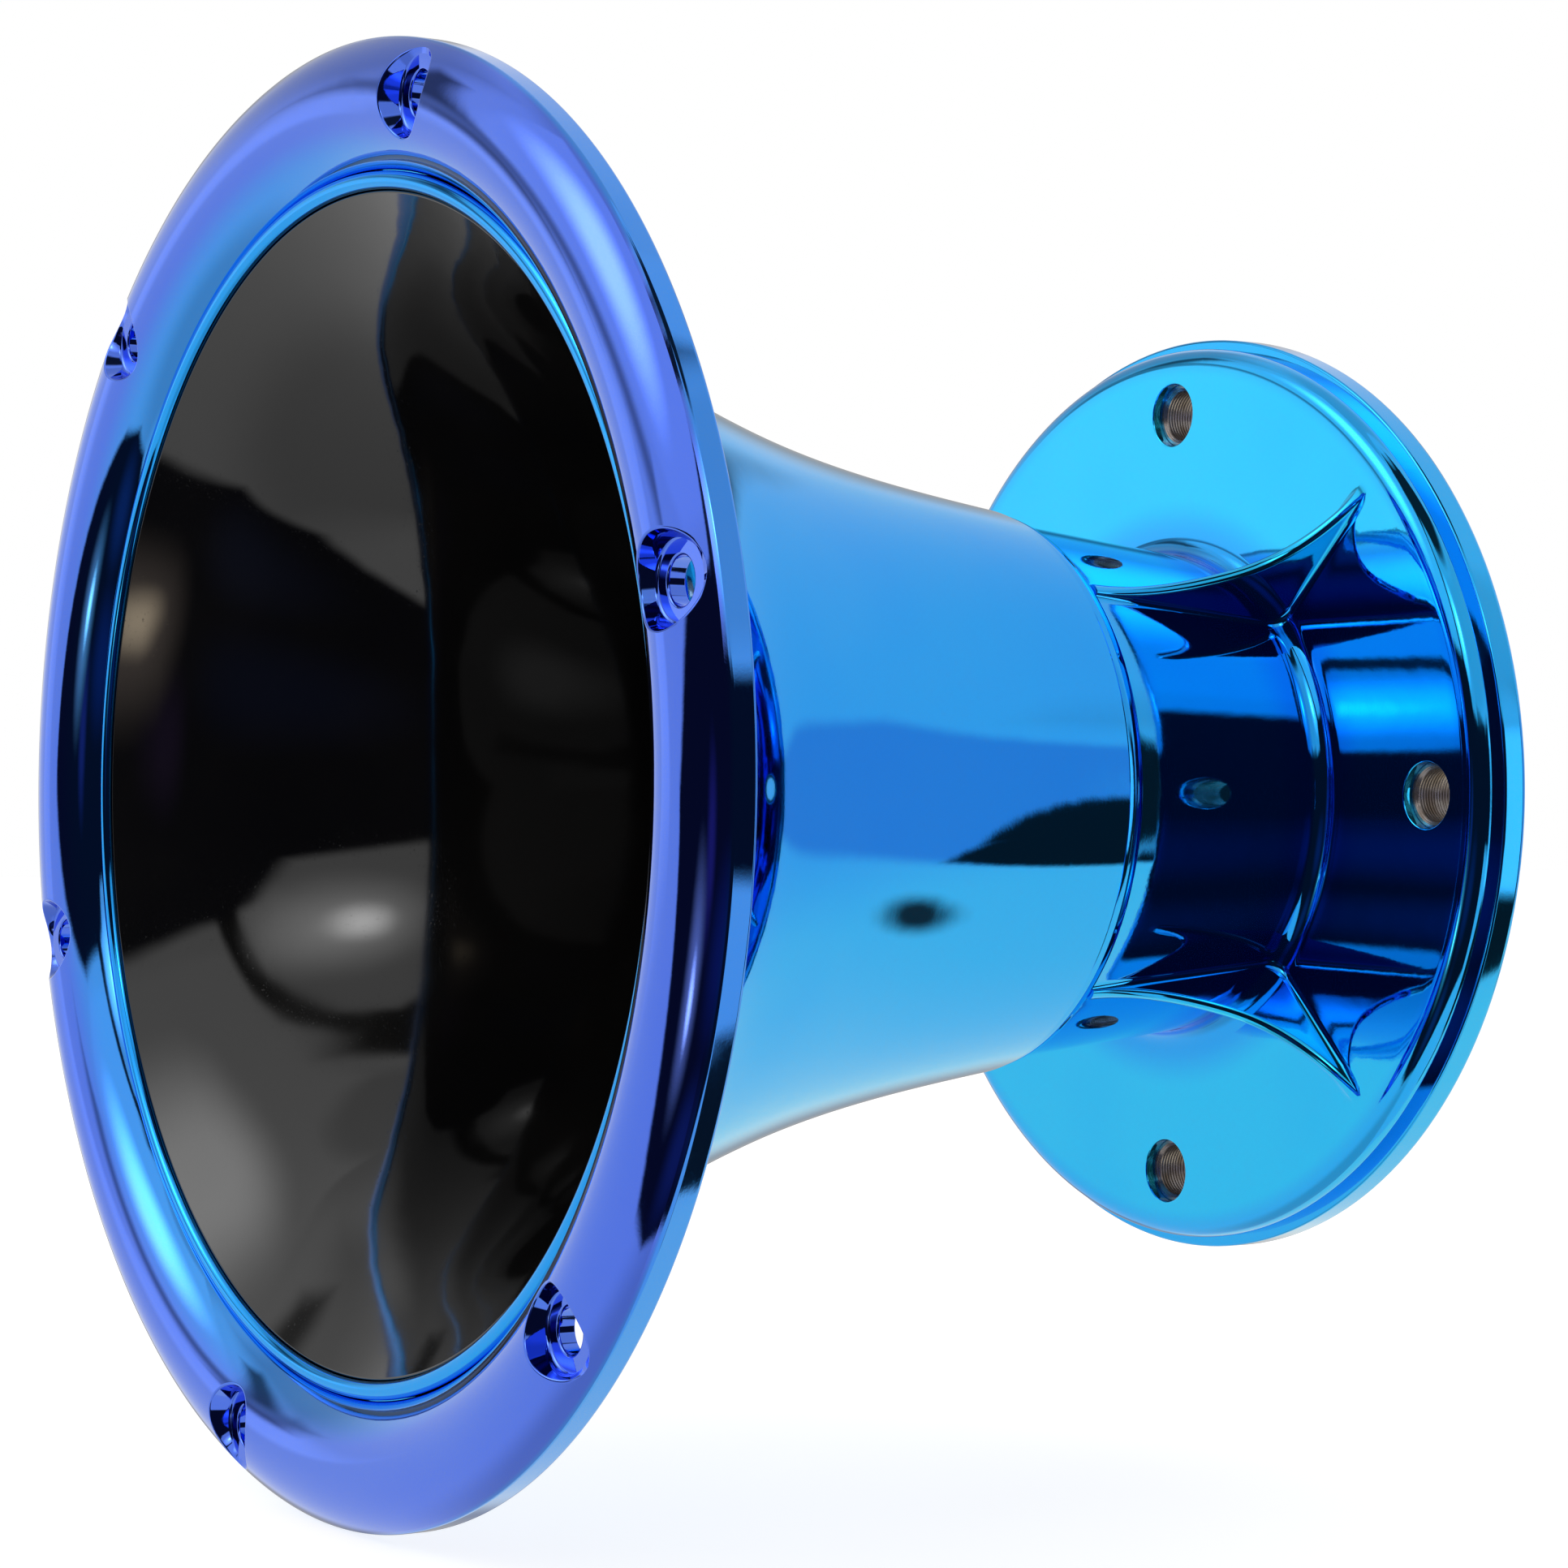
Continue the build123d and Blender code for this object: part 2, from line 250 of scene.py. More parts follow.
# ---- liner and bell ----
THROAT_R = 25.4
THROAT_LENGTH = 6.0
THROAT_ROUND = 0.25
MOUTH_R = 69.5
MOUTH_Y = -130.5
LINER_WALL = 1.6
LINER_EDGE_ROUND = 0.2
LINER_RIM = 2.2
LINER_BACK_Y = -124.0  # the outside of the flare ends here, and slants to the back of the rim
COLLAR_R = 31.0
COLLAR_DEPTH = 1.5
# the liner's inside and the bell's outside, as (distance from the driver seat, radius)
FLARE = [(THROAT_LENGTH, THROAT_R), (20.0, 27.1), (40.0, 30.6), (60.0, 34.9), (80.0, 40.4), (98.0, 47.1),
         (115.0, 56.2), (125.0, 63.6), (-MOUTH_Y, MOUTH_R)]
BELL = [(40.0, 36.3), (60.0, 39.5), (80.0, 44.3), (98.0, 50.9), (106.0, 54.6), (114.0, 59.9), (121.0, 66.3),
        (126.0, 72.2), (128.8, 75.8)]


def shifted(curve, gap):
    """A flare's points moved outward by gap, square to the wall."""
    points = np.array([p[:2] for p in curve])
    run = np.gradient(points, axis=0)
    side = unit(np.stack([-run[:, 1], run[:, 0]], 1))
    return [(r, y, 0.0) for r, y in points + side * gap]


def stretch(curve, start, end=-math.inf):
    """The points of a flare between two values of y, of which start is nearer to the driver."""
    return [p for p in curve if end < p[1] < start]


inside = flare(FLARE)
liner = lathe("liner", (
    [(THROAT_R, 0, THROAT_ROUND)] + inside[:-1]
    + [(MOUTH_R, MOUTH_Y, LINER_EDGE_ROUND), (MOUTH_R, MOUTH_Y + LINER_RIM, 0)]
    + stretch(shifted(inside, LINER_WALL), -THROAT_LENGTH - 1, LINER_BACK_Y)[::-1]
    + [(THROAT_R + LINER_WALL, -THROAT_LENGTH, 0), (THROAT_R + LINER_WALL, -COLLAR_DEPTH, 0),
       (COLLAR_R, -COLLAR_DEPTH, 0), (COLLAR_R, 0, LINER_EDGE_ROUND)]))
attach(liner, "root")
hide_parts("horn_liner")
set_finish(liner, "black_gloss")

NECK_R = 35.25
NECK_FRONT_Y = -46.0
BELL_END_R = BELL[0][1]
BELL_END_Y = -BELL[0][0]
BELL_END_LENGTH = 2.6  # the rounded step in front of the neck
BELL_END_SWELL = 0.15
BELL_END_DROP = 0.95
BELL_GAP = 0.5  # between the bell's inside and the liner
SPIGOT_R = 34.35
BELL_BACK_Y = -121.8  # the bell's inside ends here, and slants to the back of the lip
LIP_IN_R = 69.6
LIP_OUT_R = 71.75
LIP_FRONT_Y = -131.3
LIP_BACK_Y = -127.8
LIP_ROUND = 0.95

bell_end = []
for t in np.linspace(0, math.pi / 2, 9):
    radius = BELL_END_R + BELL_END_SWELL * math.cos(t) - BELL_END_DROP * (1 - math.cos(t))
    bell_end.append((radius, BELL_END_Y - BELL_END_LENGTH * (1 - math.sin(t)), 0))
bell = lathe("bell", (
    stretch(flare(BELL), BELL_END_Y - BELL_END_LENGTH - 0.2)[::-1] + bell_end
    + [(NECK_R, BELL_END_Y, 0), (NECK_R, NECK_FRONT_Y, 0), (SPIGOT_R, NECK_FRONT_Y, 0)]
    + stretch(shifted(inside, LINER_WALL + BELL_GAP), NECK_FRONT_Y, BELL_BACK_Y)
    + [(LIP_IN_R, LIP_BACK_Y, 0), (LIP_IN_R, LIP_FRONT_Y, LIP_ROUND), (LIP_OUT_R, LIP_FRONT_Y, LIP_ROUND),
       (LIP_OUT_R, -BELL[-1][0], 0)]))
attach(bell, "root")
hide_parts("bell_shell")
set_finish(bell, "bell_chrome")


# ---- holes: a ring of quads from a gap in a grid, down a round hole and out to a gap behind ----
def gap_loop(points, rows, columns):
    """The points around a block of a grid, once round, starting at its first row and column."""
    (i0, i1), (j0, j1) = rows, columns
    parts = [points[i0, j0:j1], points[i0:i1, j1], points[i1, j1:j0:-1], points[i1:i0:-1, j0]]
    return np.concatenate(parts + [points[i0 : i0 + 1, j0]])


def facing_loop(points, rows, columns):
    """The same for the grid on the far side, which runs the other way, in the near side's order."""
    loop = gap_loop(points, rows, columns)[::-1]
    return np.concatenate([loop[rows[1] - rows[0] : -1], loop[: rows[1] - rows[0] + 1]])


def block_mask(points, rows, blocks):
    """Marks a grid's cells in some rows, in each of the blocks of columns."""
    mask = np.zeros((points.shape[0] - 1, points.shape[1] - 1), bool)
    for first, last in blocks:
        mask[rows[0] : rows[1], first:last] = True
    return mask


def chords_round(grid):
    """Chords along the rows of a grid whose rows close on themselves."""
    around, _ = differences(grid[:, :-1], 1, True, ANY_BEND)
    return np.concatenate([around, around[:, :1]], 1)


def add_hole(skin, near, far, centre, section, near_surface, far_surface, spokes=7):
    """Quads from the near gap's loop in to a round hole, down its section and out to the far loop.

    section(angles) gives rows of (distance from the hole's axis, y); a surface gives y and the
    normal at any x and z, and the quads between loop and hole lie on it.
    """
    centre = np.array(centre, float)
    angles = np.unwrap(np.arctan2(near[:, 2] - centre[1], near[:, 0] - centre[0]))
    tube = section(angles)
    ring = np.stack([centre[0] + tube[..., 0] * np.cos(angles), tube[..., 1],
                     centre[1] + tube[..., 0] * np.sin(angles)], 2)
    share = np.linspace(0, 1, spokes + 1)[:, None, None]
    ends = ((near, ring[0], near_surface, share), (far, ring[-1], far_surface, share[::-1]))
    for loop, edge, surface, part in ends:
        flat = loop[None] * (1 - part) + edge[None] * part
        y, normal = surface(flat[..., 0], flat[..., 2])
        skin.patch(np.stack([flat[..., 0], y, flat[..., 2]], 2), normal)
    down, _ = differences(ring, 0, False, ANY_BEND)
    normals = unit(np.cross(down, chords_round(ring)))
    normals[0] = near_surface(ring[0, :, 0], ring[0, :, 2])[1]
    normals[-1] = far_surface(ring[-1, :, 0], ring[-1, :, 2])[1]
    skin.patch(ring, normals)


def plane(y, side):
    """A surface square to Y, facing +Y or -Y."""
    def surface(x, z):
        normal = np.zeros(x.shape + (3,))
        normal[..., 1] = side
        return np.full(x.shape, y), normal
    return surface


def straight_hole(radius, near_y, far_y, edge):
    """Section of a round hole with rounded edges between two planes."""
    path = [(radius + 2 * edge, near_y, 0), (radius, near_y, edge), (radius, far_y, edge),
            (radius + 2 * edge, far_y, 0)]
    points = rounded(path, closed=False, steps=5)
    return lambda angles: np.repeat(points[:, None], len(angles), 1)


# ---- front ring: a dome with six screw wells, hollow behind with a land at each screw ----
RING_R = 87.0
RING_BORE_R = 71.85
RING_WALL = 2.2
RING_SIDE_ROUND = 0.8
RING_BACK_ROUND = 0.5
RING_BACK_Y = -128.8
RING_COLUMNS = 720
CREST_R = 79.8
CREST_Y = -135.6
SIDE_Y = -131.7
GROOVE_Y = -130.4
DOME_EDGE_ROWS = 3
HOLLOW_DROP = 0.6  # the hollow meets the outer wall this far behind the dome's side
SCREWS = 6
SCREW_CIRCLE_R = 80.9
SCREW_START = 15
SCREW_ANGLES = np.arange(SCREWS) * 360 / SCREWS + SCREW_START
SCREW_R = 2.6
SCREW_ROUND = 0.3
SCREW_BACK_ROUND = 0.15
WELL_R = 5.2
WELL_RIM = 0.3
WELL_ROUND = 0.25
WELL_FLOOR_R = 4.5
WELL_FLOOR_Y = -132.8
WELL_FLOOR_ROUND = 0.5
WELL_ROUND_SHARE = 0.3  # no rounding takes more than this share of a well's depth
LAND_Y = -130.6
LAND_HALF_ANGLE = 6
HOLE_HALF_ANGLE = 5  # half of the block of cells that a well replaces
HOLE_ROWS = 24
HOLE_FRONT_R = (73.2, 86.6)
HOLE_BACK_R = (84.4, 75.4)


def dome_size(reach, rise):
    """Radius of an arc that falls by rise over reach from its crest."""
    return (reach**2 + rise**2) / (2 * rise)


OUTER_ARC = dome_size(RING_R - CREST_R, SIDE_Y - CREST_Y)
INNER_ARC = dome_size(CREST_R - RING_BORE_R, GROOVE_Y - CREST_Y)


def dome_lean(radius):
    """How far the dome's normal leans outward at a radius, in radians."""
    reach = radius - CREST_R
    return np.arcsin(reach / np.where(reach > 0, OUTER_ARC, INNER_ARC))


def dome_profile(leans):
    """Points (radius, y) of the dome where its normal leans by each of the angles."""
    size = np.where(leans > 0, OUTER_ARC, INNER_ARC)
    return np.stack([CREST_R + size * np.sin(leans), CREST_Y + size * (1 - np.cos(leans))], 1)


def dome_surface(x, z):
    """The dome's y and normal at x and z."""
    radius = np.hypot(x, z)
    lean = dome_lean(radius)
    size = np.where(lean > 0, OUTER_ARC, INNER_ARC)
    normal = np.stack([np.sin(lean) * x / radius, -np.cos(lean), np.sin(lean) * z / radius], -1)
    return CREST_Y + size * (1 - np.cos(lean)), normal


def well_section(centre):
    """Section of a screw well: rounded rim on the dome, drafted wall, floor, screw hole."""
    def dome_at(distance, angle):
        x = centre[0] + distance * math.cos(angle)
        z = centre[1] + distance * math.sin(angle)
        return float(dome_surface(np.array(x), np.array(z))[0])

    def section(angles):
        made = []
        for angle in angles:
            top = dome_at(WELL_R, angle)
            most = WELL_ROUND_SHARE * (WELL_FLOOR_Y - top)
            path = [(WELL_R + WELL_RIM, dome_at(WELL_R + WELL_RIM, angle), 0),
                    (WELL_R, top, min(WELL_ROUND, most)),
                    (WELL_FLOOR_R, WELL_FLOOR_Y, min(WELL_FLOOR_ROUND, most)),
                    (SCREW_R, WELL_FLOOR_Y, SCREW_ROUND),
                    (SCREW_R, LAND_Y, SCREW_BACK_ROUND),
                    (SCREW_R + 2 * SCREW_BACK_ROUND, LAND_Y, 0)]
            made.append(rounded(path, closed=False, steps=5))
        return np.stack(made, 1)
    return section


def from_screw(degrees):
    """How far round a direction is from the nearest screw."""
    return abs((degrees - SCREW_START + 180 / SCREWS) % (360 / SCREWS) - 180 / SCREWS)


def add_ring_front(skin, angles):
    """The dome, open at the wells, and the side; returns the dome's grid and the blocks left open."""
    first, last = dome_lean(np.array(HOLE_FRONT_R))
    leans = np.concatenate([np.linspace(dome_lean(RING_BORE_R), first, DOME_EDGE_ROWS + 1)[:-1],
                            np.linspace(first, last, HOLE_ROWS + 1)])
    dome = dome_profile(leans)
    points, _, _ = turned(dome, angles)
    lean = leans[:, None]
    normals = np.stack([np.sin(lean) * np.cos(angles), np.repeat(-np.cos(lean), len(angles), 1),
                        np.sin(lean) * np.sin(angles)], 2)
    rows = (DOME_EDGE_ROWS, DOME_EDGE_ROWS + HOLE_ROWS)
    per_degree = RING_COLUMNS // 360
    blocks = [(int((c - HOLE_HALF_ANGLE) * per_degree), int((c + HOLE_HALF_ANGLE) * per_degree))
              for c in SCREW_ANGLES]
    skin.patch(points, normals, block_mask(points, rows, blocks))
    side = [(*dome[-2], 0), (*dome[-1], 0), (RING_R, SIDE_Y, RING_SIDE_ROUND),
            (RING_R, RING_BACK_Y, RING_BACK_ROUND), (RING_R - RING_WALL, RING_BACK_Y, 0)]
    add_turned(skin, rounded(side, closed=False)[1:], angles)
    return points, rows, blocks


def add_ring_back(skin, angles):
    """The hollow from the outer wall to the bore's, filled by a land at each screw, open at the holes."""
    out_r = RING_R - RING_WALL
    in_r = RING_BORE_R + RING_WALL
    across = np.linspace(*HOLE_BACK_R, HOLE_ROWS + 1)
    radii = np.concatenate([[out_r], across, [in_r]])
    land = np.stack([radii, np.full(len(radii), LAND_Y)], 1)
    roof = CREST_Y + RING_WALL
    rise = SIDE_Y + HOLLOW_DROP - roof
    hollow = np.stack([radii, roof + rise * ((radii - CREST_R) / (out_r - CREST_R)) ** 2], 1)
    outer_wall = [(out_r, RING_BACK_Y), (out_r, LAND_Y)]
    inner_wall = [(in_r, LAND_Y), (in_r, RING_BACK_Y)]
    stops = []
    for a in np.degrees(angles):
        if abs(from_screw(a) - LAND_HALF_ANGLE) < 1e-6:
            entering = from_screw(a + 0.1) < LAND_HALF_ANGLE
            stops += [(a, not entering), (a, entering)]
        else:
            stops.append((a, from_screw(a) < LAND_HALF_ANGLE))
    columns = []
    for degrees, on_land in stops:
        a = np.radians(degrees)
        profile = np.concatenate([outer_wall, land if on_land else hollow, inner_wall])
        columns.append(np.stack([profile[:, 0] * math.cos(a), profile[:, 1], profile[:, 0] * math.sin(a)], 1))
    back = np.stack(columns, 1)
    rows = (3, 3 + HOLE_ROWS)  # after the outer wall's two rows and the hollow's first
    degrees = np.array([d for d, _ in stops])
    blocks = [tuple(int(np.argmin(abs(degrees - (c + side * HOLE_HALF_ANGLE)))) for side in (-1, 1))
              for c in SCREW_ANGLES]
    flat = unit(np.cross(back[1:, :-1] - back[:-1, 1:], back[1:, 1:] - back[:-1, :-1]))
    for i, j in np.argwhere(~block_mask(back, rows, blocks)):
        skin.patch(back[i : i + 2, j : j + 2], np.broadcast_to(flat[i, j], (2, 2, 3)))
    bore = np.array([(in_r, RING_BACK_Y), (RING_BORE_R, RING_BACK_Y), (RING_BORE_R, GROOVE_Y)])
    add_turned(skin, bore, angles)
    return back, rows, blocks


def build_ring():
    skin = Skin()
    angles = np.radians(np.arange(RING_COLUMNS + 1) * 360 / RING_COLUMNS)
    front, front_rows, front_blocks = add_ring_front(skin, angles)
    back, back_rows, back_blocks = add_ring_back(skin, angles)
    for degrees, front_block, back_block in zip(SCREW_ANGLES, front_blocks, back_blocks):
        a = math.radians(degrees)
        centre = (SCREW_CIRCLE_R * math.cos(a), SCREW_CIRCLE_R * math.sin(a))
        near = gap_loop(front, front_rows, front_block)
        far = facing_loop(back, back_rows, back_block)
        add_hole(skin, near, far, centre, well_section(centre), dome_surface, plane(LAND_Y, 1))
    return skin.build("front_ring")


ring = build_ring()
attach(ring, "root")
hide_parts("front_bezel_ring")
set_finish(ring, "ring_chrome")

# ---- neck, gussets and the front disc of the rear flange, one moulding ----
NECK_REAR_R = 31.6
NECK_FRONT_IN_R = 31.9
NECK_GAP = 0.2  # between the neck's inside and the liner
NECK_STEPS = 30
BELL_SEAT = 0.04  # the gussets' front faces rise within this length, behind the bell's end
FACE_Y = -7.6
SPLIT_Y = -3.9
FLANGE_R = 59.6
FLANGE_EDGE_ROUND = 2.5
FLANGE_FILLET = 2.6
FILLET_ROOM = 3.2
BORE_R = 27.2
BORE_END_Y = -6.0
QUARTERS = 4  # a gusset and a bolt hole in each
GUSSET_HALF = 0.8
GUSSET_FILLET = 1.0
GUSSET_ROUND = 0.7
GUSSET_CENTRE = np.array((64.0, -36.0))  # (radius, y) of the point that gussets rise towards
# (radius, y) along a gusset's free edge, from the bell's end to its tip in the flange's face
GUSSET_EDGE = [(36.2, -40.0), (36.2, -33.5), (37.2, -27.5), (38.9, -22.0), (42.0, -15.8), (47.1, -10.9),
               (54.3, -7.6), (57.5, -6.8)]
BOLT_CIRCLE_R = 50.8
BOLT_R = 4.15
BOLT_FRONT_ROUND = 0.2
BOLT_BACK_ROUND = 0.1
BOLT_BLOCK_R = (45.6, 56.0)  # the block of cells that a bolt hole replaces
BOLT_BLOCK_HALF_ANGLE = math.radians(6)
BOLT_BLOCK_ROWS = 16
SPAN_COLUMNS = 20  # across a bolt block, and between it and a gusset
INNER_FACE_R = np.linspace(36.4, 44.8, 7)  # rows of the flange's face between fillet and bolt holes
BLOCK_R = np.linspace(*BOLT_BLOCK_R, BOLT_BLOCK_ROWS + 1)


def polar(points):
    """Angle and distance about the gussets' centre."""
    away = np.array(points) - GUSSET_CENTRE
    return np.arctan2(away[:, 1], away[:, 0]) % (2 * math.pi), np.linalg.norm(away, axis=1)


def gusset_height(profile):
    """How far a gusset stands from the neck or flange at each profile point, and which way."""
    turns, reach = polar(GUSSET_EDGE)
    fine_turns, fine_reach = smooth_curve(list(zip(turns[::-1], reach[::-1])), 200)
    at, away = polar(profile)
    height = away - np.interp(at, fine_turns, fine_reach)
    # a gusset stands only behind the bell's end and short of its own tip
    within = (profile[:, 1] > BELL_END_Y - 0.01) & (at > turns[-1])
    return np.where(within, np.maximum(height, 0), 0), unit(GUSSET_CENTRE - profile)


def gusset_columns(radius, y, height, toward, turn):
    """One row of points across a gusset, from the surface beside it over its edge to the other side."""
    size = min(1, height / (GUSSET_FILLET + GUSSET_ROUND))
    fillet = GUSSET_FILLET * size
    top = GUSSET_ROUND * size
    arc = np.linspace(0, math.pi / 2, 6)
    side = [(GUSSET_HALF + GUSSET_FILLET * (1 - math.sin(a)), fillet * (1 - math.cos(a))) for a in arc]
    side.append((GUSSET_HALF, (fillet + height - top) / 2))
    side += [(GUSSET_HALF * math.cos(a), height - top * (1 - math.sin(a))) for a in arc]
    row = []
    for w, h in [(-w, h) for w, h in side] + side[-2::-1]:
        out = math.sqrt(radius**2 - w**2) + toward[0] * h
        row.append((out * math.cos(turn) - w * math.sin(turn), y + toward[1] * h,
                    out * math.sin(turn) + w * math.cos(turn)))
    return row


def flange_grid(profile, gussets=False):
    """Rows of points round a profile, and the columns of each bolt block.

    Each quarter holds a gusset, a plain span, the bolt block and another plain span.
    """
    height = np.zeros(len(profile))
    toward = np.zeros((len(profile), 2))
    if gussets:
        height, toward = gusset_height(profile)
    half_gusset = GUSSET_HALF + GUSSET_FILLET
    rows = []
    for (r, y), h, way in zip(profile, height, toward):
        row = []
        side = math.asin(half_gusset / r)
        for k in range(QUARTERS):
            turn = math.radians(45 + 90 * k)
            row += gusset_columns(r, y, h, way, turn)
            low = turn + math.radians(45) - BOLT_BLOCK_HALF_ANGLE
            high = low + 2 * BOLT_BLOCK_HALF_ANGLE
            plain = [np.linspace(turn + side, low, SPAN_COLUMNS + 1)[1:-1],
                     np.linspace(low, high, SPAN_COLUMNS + 1),
                     np.linspace(high, turn + math.radians(90) - side, SPAN_COLUMNS + 1)[1:-1]]
            row += [(r * math.cos(a), y, r * math.sin(a)) for a in np.concatenate(plain)]
        rows.append(row + row[:1])
    grid = np.array(rows)
    columns = (grid.shape[1] - 1) // QUARTERS
    starts = [(k + 1) * columns - 2 * SPAN_COLUMNS for k in range(QUARTERS)]
    return grid, [(start, start + SPAN_COLUMNS) for start in starts]


def add_grid(skin, grid, mask):
    """Adds a grid whose rows close on themselves and may meet in crisp corners."""
    ahead, behind = differences(grid, 0, False)
    around = chords_round(grid)
    leave = unit(np.cross(ahead, around))
    arrive = unit(np.cross(behind, around))
    for i in range(len(grid) - 1):
        skin.patch(grid[i : i + 2], np.stack([leave[i], arrive[i + 1]]), mask[i : i + 1])


def add_disc(skin, front, back, front_y, back_y, edge, gussets=False):
    """A disc of the flange from its front and back profiles, with its bolt holes.

    The front profile has the bolt block's rows at front_y, and the back one from its second row.
    """
    near, blocks = flange_grid(front, gussets)
    far, _ = flange_grid(back)
    start = int(np.argmin(abs(front[:, 0] - BLOCK_R[0]) + abs(front[:, 1] - front_y)))
    near_rows = (start, start + BOLT_BLOCK_ROWS)
    far_rows = (1, 1 + BOLT_BLOCK_ROWS)
    add_grid(skin, near, block_mask(near, near_rows, blocks))
    add_grid(skin, far, block_mask(far, far_rows, blocks))
    for k, block in enumerate(blocks):
        a = math.radians(90 + 90 * k)
        centre = (BOLT_CIRCLE_R * math.cos(a), BOLT_CIRCLE_R * math.sin(a))
        add_hole(skin, gap_loop(near, near_rows, block), facing_loop(far, far_rows, block), centre,
                 straight_hole(BOLT_R, front_y, back_y, edge), plane(front_y, -1), plane(back_y, 1))


def build_neck():
    skin = Skin()
    cone = [(r, y, 0) for r, y in zip(np.linspace(NECK_R, NECK_REAR_R, NECK_STEPS)[1:-1],
                                      np.linspace(BELL_END_Y, FACE_Y, NECK_STEPS)[1:-1])
            if y < FACE_Y - FILLET_ROOM]
    front = ([(NECK_R, NECK_FRONT_Y, 0), (NECK_R, BELL_END_Y - BELL_SEAT, 0), (NECK_R, BELL_END_Y, 0)]
             + cone + [(NECK_REAR_R, FACE_Y, FLANGE_FILLET)]
             + [(r, FACE_Y, 0) for r in INNER_FACE_R] + [(r, FACE_Y, 0) for r in BLOCK_R]
             + [(FLANGE_R, FACE_Y, FLANGE_EDGE_ROUND), (FLANGE_R, SPLIT_Y, 0)])
    lining = stretch(shifted(inside, LINER_WALL + NECK_GAP), -17, -44)[::3]
    back = np.array([(FLANGE_R, SPLIT_Y)] + [(r, SPLIT_Y) for r in BLOCK_R[::-1]]
                    + [(BORE_R, SPLIT_Y), (BORE_R, BORE_END_Y)] + [(r, y) for r, y, _ in lining]
                    + [(NECK_FRONT_IN_R, NECK_FRONT_Y), (NECK_R, NECK_FRONT_Y)])
    front = rounded(front, closed=False, steps=10)
    add_disc(skin, front, back, FACE_Y, SPLIT_Y, BOLT_FRONT_ROUND, gussets=True)
    return skin.build("neck")


neck = build_neck()
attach(neck, "root")
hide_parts("throat_neck")
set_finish(neck, "flange_chrome")

# ---- rear plate of the flange, with its bolt holes and the recesses for liner and gasket ----
PLATE_R = 60.9
PLATE_FRONT_ROUND = 0.35
PLATE_BACK_ROUND = 1.0
PLATE_OUTER_FACE_R = 58.5
PLATE_INNER_FACE_R = 45.0
GASKET_IN_R = 33.0
GASKET_OUT_R = 44.5
GASKET_DEPTH = 1.5


def build_plate():
    skin = Skin()
    front = [(BORE_R, -COLLAR_DEPTH, 0), (BORE_R, SPLIT_Y, 0), (PLATE_INNER_FACE_R, SPLIT_Y, 0)]
    front += [(r, SPLIT_Y, 0) for r in BLOCK_R]
    front += [(PLATE_OUTER_FACE_R, SPLIT_Y, 0), (PLATE_R, SPLIT_Y, PLATE_FRONT_ROUND)]
    front += [(PLATE_R, 0, PLATE_BACK_ROUND), (PLATE_OUTER_FACE_R, 0, 0)]
    back = [(PLATE_OUTER_FACE_R, 0)] + [(r, 0) for r in BLOCK_R[::-1]]
    back += [(GASKET_OUT_R, 0), (GASKET_OUT_R, -GASKET_DEPTH), (GASKET_IN_R, -GASKET_DEPTH), (GASKET_IN_R, 0)]
    back += [(COLLAR_R, 0), (COLLAR_R, -COLLAR_DEPTH), (BORE_R, -COLLAR_DEPTH)]
    add_disc(skin, rounded(front, closed=False), np.array(back), SPLIT_Y, 0, BOLT_BACK_ROUND)
    return skin.build("rear_plate")


plate = build_plate()
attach(plate, "root")
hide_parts("flange_back_plate")
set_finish(plate, "flange_chrome")

# ---- sleeves in the flange's bolt holes: turned metal, chamfered, with fine tool marks in the bore ----
SLEEVE_BORE_R = 3.3
SLEEVE_CHAMFER = 0.4
SLEEVE_ROUND = 0.1
SLEEVE_FRONT_Y = FACE_Y + 1.4
SLEEVE_COLUMNS = 72
TOOL_MARKS = 12
TOOL_MARK_DEPTH = 0.06


def build_sleeves():
    skin = Skin()
    marks = np.linspace(SLEEVE_CHAMFER, -SLEEVE_FRONT_Y - SLEEVE_CHAMFER, 2 * TOOL_MARKS + 1)
    bore = [(SLEEVE_BORE_R + TOOL_MARK_DEPTH * (k % 2), -d, 0) for k, d in enumerate(marks)]
    path = ([(BOLT_R, SLEEVE_FRONT_Y, SLEEVE_ROUND), (BOLT_R, 0, SLEEVE_ROUND),
             (SLEEVE_BORE_R + SLEEVE_CHAMFER, 0, 0)] + bore
            + [(SLEEVE_BORE_R + SLEEVE_CHAMFER, SLEEVE_FRONT_Y, 0)])
    profile = rounded(path, steps=3)
    angles = np.linspace(0, 2 * math.pi, SLEEVE_COLUMNS + 1)
    for k in range(QUARTERS):
        a = math.radians(90 * k)
        add_turned(skin, profile, angles, (BOLT_CIRCLE_R * math.cos(a), 0, BOLT_CIRCLE_R * math.sin(a)))
    return skin.build("bolt_sleeves")


sleeves = build_sleeves()
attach(sleeves, "root")
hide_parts("flange_bushings")
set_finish(sleeves, "sleeve_metal")

# ---- foam ring in the driver seat, crowned a little between its edges ----
GASKET_CROWN = 0.12
GASKET_CLEARANCE = 0.05
GASKET_ROUND = 0.25
GASKET_STEPS = 12


def build_gasket():
    out_r = GASKET_OUT_R - GASKET_CLEARANCE
    in_r = GASKET_IN_R + GASKET_CLEARANCE
    middle = (GASKET_OUT_R + GASKET_IN_R) / 2
    half = (GASKET_OUT_R - GASKET_IN_R) / 2
    top = []
    for k, r in enumerate(np.linspace(out_r, in_r, GASKET_STEPS + 1)):
        drop = GASKET_CROWN * ((r - middle) / half) ** 2
        top.append((r, -drop, GASKET_ROUND if k in (0, GASKET_STEPS) else 0))
    return lathe("gasket_ring", [(out_r, -GASKET_DEPTH, 0)] + top + [(in_r, -GASKET_DEPTH, 0)])


gasket = build_gasket()
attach(gasket, "root")
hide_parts("driver_gasket")
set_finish(gasket, "gasket_foam")

